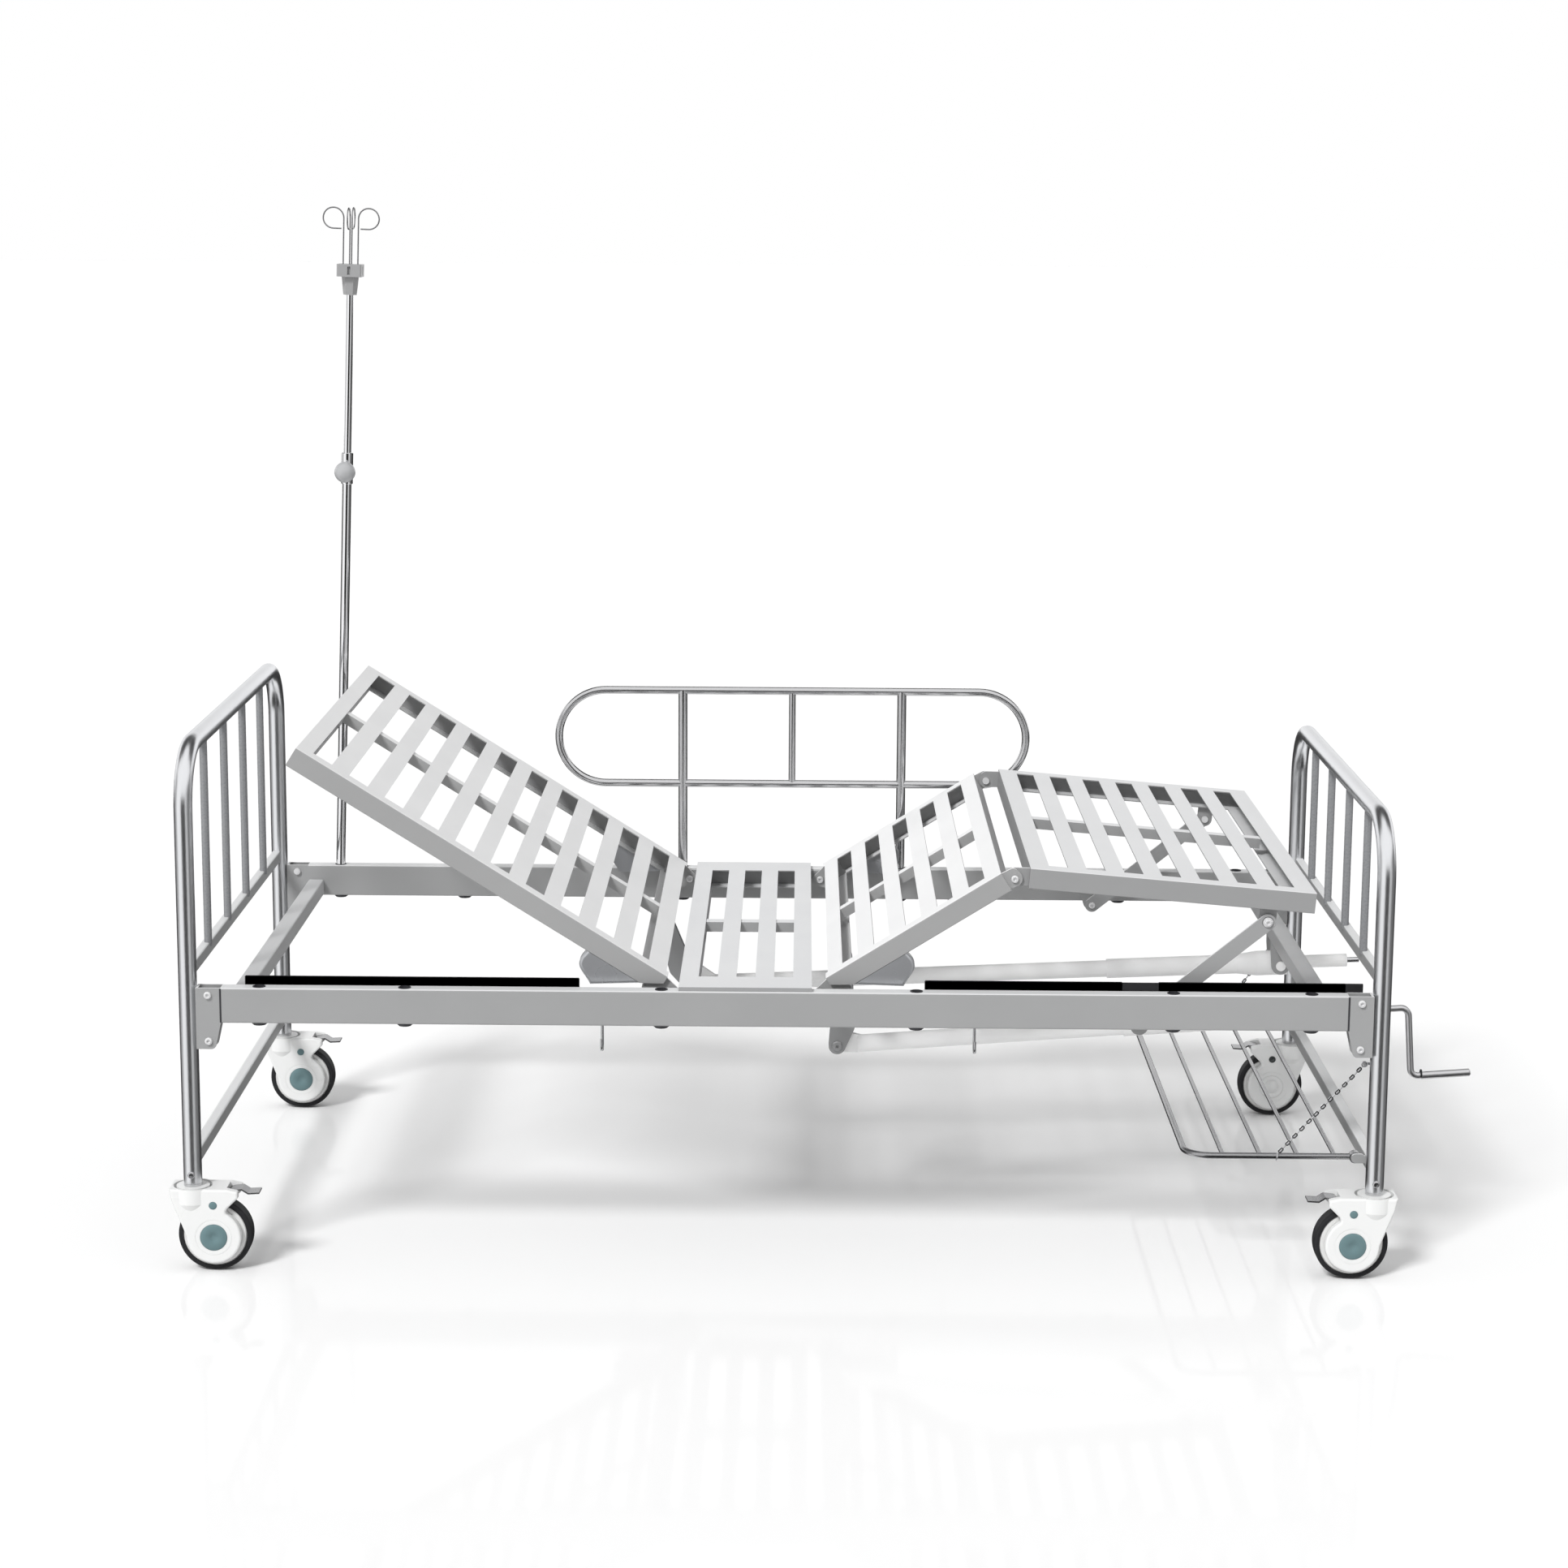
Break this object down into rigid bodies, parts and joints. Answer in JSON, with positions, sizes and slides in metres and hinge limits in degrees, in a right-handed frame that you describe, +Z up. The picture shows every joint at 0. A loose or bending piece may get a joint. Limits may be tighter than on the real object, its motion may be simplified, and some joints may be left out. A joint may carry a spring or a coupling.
{
  "type": "adjustable hospital bed",
  "caption": "Hospital bed with two crank jacks that raise the back and the knees, end boards, a lift-out guard rail, an infusion pole, a folding shelf and braked casters.",
  "frame": {"origin": "on the floor, at the middle of the bounding box", "axes": "+X towards the foot end, +Y towards the side with the guard rail and the pole, +Z up"},
  "size_m": [2.2579, 1.0816, 1.7694],
  "materials": {
    "arch_steel": "satin stainless tube",
    "frame_enamel": "satin grey powder coat",
    "deck_enamel": "light grey powder coat",
    "jack_enamel": "white powder coat",
    "zinc_steel": "zinc plated",
    "chrome_steel": "polished",
    "cover_plastic": "glossy moulded cover",
    "grey_plastic": "moulded grey",
    "dark_plastic": "moulded black",
    "black_rubber": "matt",
    "caster_plastic": "white moulded cover with teal caps",
    "hub_plastic": "white moulded wheel centre",
    "tyre_rubber": "black tread"
  },
  "bodies": {
    "frame": {"head_arch": "arch_steel", "foot_arch": "arch_steel", "board_bars": "frame_enamel", "board_rails": "frame_enamel", "side_beams": "frame_enamel", "end_brackets": "frame_enamel", "cross_members": "frame_enamel", "socket_rings": "dark_plastic", "frame_brackets": "frame_enamel", "frame_bolts": "zinc_steel", "drain_hooks": "zinc_steel", "buffer_strips": "black_rubber", "seat_frame": "deck_enamel", "seat_slats": "deck_enamel", "caster_stems": "zinc_steel", "back_jack_sleeve": "jack_enamel", "knee_jack_sleeve": "jack_enamel"},
    "guard_rail": {"guard_rail": "chrome_steel"},
    "pole": {"pole_lower": "chrome_steel", "pole_collar": "chrome_steel"},
    "pole_knob": {"pole_knob": "grey_plastic"},
    "pole_top": {"pole_upper": "chrome_steel", "pole_head": "grey_plastic", "pole_hooks": "chrome_steel"},
    "back_section": {"back_frame": "deck_enamel", "back_slats": "deck_enamel", "back_guards": "cover_plastic", "back_lever": "deck_enamel"},
    "thigh_section": {"thigh_frame": "deck_enamel", "thigh_slats": "deck_enamel", "thigh_guards": "cover_plastic", "thigh_lever": "deck_enamel"},
    "leg_section": {"leg_frame": "deck_enamel", "leg_slats": "deck_enamel", "leg_bolts": "zinc_steel"},
    "leg_struts": {"leg_struts": "deck_enamel"},
    "back_push_tube": {"back_push_tube": "jack_enamel"},
    "back_screw": {"back_screw": "zinc_steel"},
    "knee_push_tube": {"knee_push_tube": "jack_enamel"},
    "knee_crank": {"knee_screw": "zinc_steel", "crank_handle": "chrome_steel"},
    "crank_grip": {"crank_grip": "chrome_steel"},
    "shelf": {"shelf_rack": "zinc_steel"},
    "shelf_chains": {"shelf_chains": "zinc_steel"},
    "caster_head_near": {"caster_head_near_housing": "caster_plastic"},
    "caster_head_near_pedal": {"caster_head_near_pedal": "chrome_steel"},
    "caster_head_near_wheel": {"caster_head_near_tyre": "tyre_rubber", "caster_head_near_hub": "hub_plastic"},
    "caster_head_far": {"caster_head_far_housing": "caster_plastic"},
    "caster_head_far_pedal": {"caster_head_far_pedal": "chrome_steel"},
    "caster_head_far_wheel": {"caster_head_far_tyre": "tyre_rubber", "caster_head_far_hub": "hub_plastic"},
    "caster_foot_near": {"caster_foot_near_housing": "caster_plastic"},
    "caster_foot_near_pedal": {"caster_foot_near_pedal": "chrome_steel"},
    "caster_foot_near_wheel": {"caster_foot_near_tyre": "tyre_rubber", "caster_foot_near_hub": "hub_plastic"},
    "caster_foot_far": {"caster_foot_far_housing": "caster_plastic"},
    "caster_foot_far_pedal": {"caster_foot_far_pedal": "chrome_steel"},
    "caster_foot_far_wheel": {"caster_foot_far_tyre": "tyre_rubber", "caster_foot_far_hub": "hub_plastic"}
  },
  "joints": [
    {"name": "back_crank_turn", "type": "hinge", "parent": "frame", "child": "back_screw", "pos_m": [0.8349, 0.165, 0.388], "axis": [-0.999, 0, -0.0445], "range_deg": [-5371.18, 7217.52]},
    {"name": "knee_crank_turn", "type": "hinge", "parent": "frame", "child": "knee_crank", "pos_m": [0.8349, -0.165, 0.373], "axis": [-0.9972, 0, -0.0745], "range_deg": [-6705.04, 2095.33]},
    {"name": "grip_turn", "type": "hinge", "parent": "knee_crank", "child": "crank_grip", "pos_m": [1.09359, -0.165, 0.26597], "axis": [-0.9972, 0, -0.0745], "continuous": true},
    {"name": "back_hinge", "type": "hinge", "parent": "frame", "child": "back_section", "pos_m": [-0.2791, 0, 0.478], "axis": [0, 1, 0], "range_deg": [-32, 43]},
    {"name": "back_push", "type": "slide", "parent": "frame", "child": "back_push_tube", "axis": [-0.999, 0, -0.0445], "range_m": [-0.07456, 0.10019]},
    {"name": "thigh_hinge", "type": "hinge", "parent": "frame", "child": "thigh_section", "pos_m": [-0.0241, 0, 0.478], "axis": [0, -1, 0], "range_deg": [-32.02, 10.01]},
    {"name": "knee_push", "type": "slide", "parent": "frame", "child": "knee_push_tube", "axis": [-0.9972, 0, -0.0745], "range_m": [-0.02912, 0.09317]},
    {"name": "knee_hinge", "type": "hinge", "parent": "thigh_section", "child": "leg_section", "pos_m": [0.29646, 0, 0.67831], "axis": [0, -1, 0], "range_deg": [-11.47, 36.72]},
    {"name": "strut_hinge", "type": "hinge", "parent": "frame", "child": "leg_struts", "pos_m": [0.50862, 0, 0.43157], "axis": [0, -1, 0], "range_deg": [-37.22, 11.63]},
    {"name": "guard_rail_lift", "type": "slide", "parent": "frame", "child": "guard_rail", "axis": [0, 0, 1], "range_m": [0, 0.07]},
    {"name": "pole_lift", "type": "slide", "parent": "frame", "child": "pole", "axis": [0, 0, 1], "range_m": [0, 0.075]},
    {"name": "knob_turn", "type": "hinge", "parent": "pole", "child": "pole_knob", "pos_m": [-0.94196, 0.465, 1.26755], "axis": [0, -1, 0], "range_deg": [0, 720]},
    {"name": "pole_height", "type": "slide", "parent": "pole", "child": "pole_top", "axis": [0.034, 0, 0.9994], "range_m": [-0.28, 0.12]},
    {"name": "shelf_fold", "type": "hinge", "parent": "frame", "child": "shelf", "pos_m": [0.8859, 0, 0.195], "axis": [0, 1, 0], "range_deg": [0, 25]},
    {"name": "chain_swing", "type": "hinge", "parent": "frame", "child": "shelf_chains", "pos_m": [0.8879, 0, 0.371], "axis": [0, 1, 0], "range_deg": [0, 24.64]},
    {"name": "caster_head_near_swivel", "type": "hinge", "parent": "frame", "child": "caster_head_near", "pos_m": [-1.0881, -0.494, 0.1], "axis": [0, 0, 1], "continuous": true},
    {"name": "caster_head_near_brake", "type": "hinge", "parent": "caster_head_near", "child": "caster_head_near_pedal", "pos_m": [-1.0201, -0.494, 0.134], "axis": [0, 1, 0], "range_deg": [0, 14]},
    {"name": "caster_head_near_roll", "type": "hinge", "parent": "caster_head_near", "child": "caster_head_near_wheel", "pos_m": [-1.0501, -0.494, 0.0625], "axis": [0, 1, 0], "continuous": true},
    {"name": "caster_head_far_swivel", "type": "hinge", "parent": "frame", "child": "caster_head_far", "pos_m": [-1.0881, 0.494, 0.1], "axis": [0, 0, 1], "continuous": true},
    {"name": "caster_head_far_brake", "type": "hinge", "parent": "caster_head_far", "child": "caster_head_far_pedal", "pos_m": [-1.0201, 0.494, 0.134], "axis": [0, 1, 0], "range_deg": [0, 14]},
    {"name": "caster_head_far_roll", "type": "hinge", "parent": "caster_head_far", "child": "caster_head_far_wheel", "pos_m": [-1.0501, 0.494, 0.0625], "axis": [0, 1, 0], "continuous": true},
    {"name": "caster_foot_near_swivel", "type": "hinge", "parent": "frame", "child": "caster_foot_near", "pos_m": [0.9119, -0.494, 0.1], "axis": [0, 0, 1], "continuous": true},
    {"name": "caster_foot_near_brake", "type": "hinge", "parent": "caster_foot_near", "child": "caster_foot_near_pedal", "pos_m": [0.8439, -0.494, 0.134], "axis": [0, -1, 0], "range_deg": [0, 14]},
    {"name": "caster_foot_near_roll", "type": "hinge", "parent": "caster_foot_near", "child": "caster_foot_near_wheel", "pos_m": [0.8739, -0.494, 0.0625], "axis": [0, 1, 0], "continuous": true},
    {"name": "caster_foot_far_swivel", "type": "hinge", "parent": "frame", "child": "caster_foot_far", "pos_m": [0.9119, 0.494, 0.1], "axis": [0, 0, 1], "continuous": true},
    {"name": "caster_foot_far_brake", "type": "hinge", "parent": "caster_foot_far", "child": "caster_foot_far_pedal", "pos_m": [0.8439, 0.494, 0.134], "axis": [0, -1, 0], "range_deg": [0, 14]},
    {"name": "caster_foot_far_roll", "type": "hinge", "parent": "caster_foot_far", "child": "caster_foot_far_wheel", "pos_m": [0.8739, 0.494, 0.0625], "axis": [0, 1, 0], "continuous": true}
  ],
  "couplings": [
    {"joint": "back_crank_turn", "follows": "back_hinge", "ratio": 167.68},
    {"joint": "back_push", "follows": "back_hinge", "m_per_rad": 0.13344},
    {"joint": "thigh_hinge", "follows": "knee_crank_turn", "ratio": 0.0047725},
    {"joint": "knee_push", "follows": "knee_crank_turn", "m_per_rad": -0.00079577},
    {"joint": "knee_hinge", "follows": "knee_crank_turn", "ratio": -0.0054735},
    {"joint": "strut_hinge", "follows": "knee_crank_turn", "ratio": 0.0055481},
    {"joint": "chain_swing", "follows": "shelf_fold", "ratio": 0.98519}
  ]
}
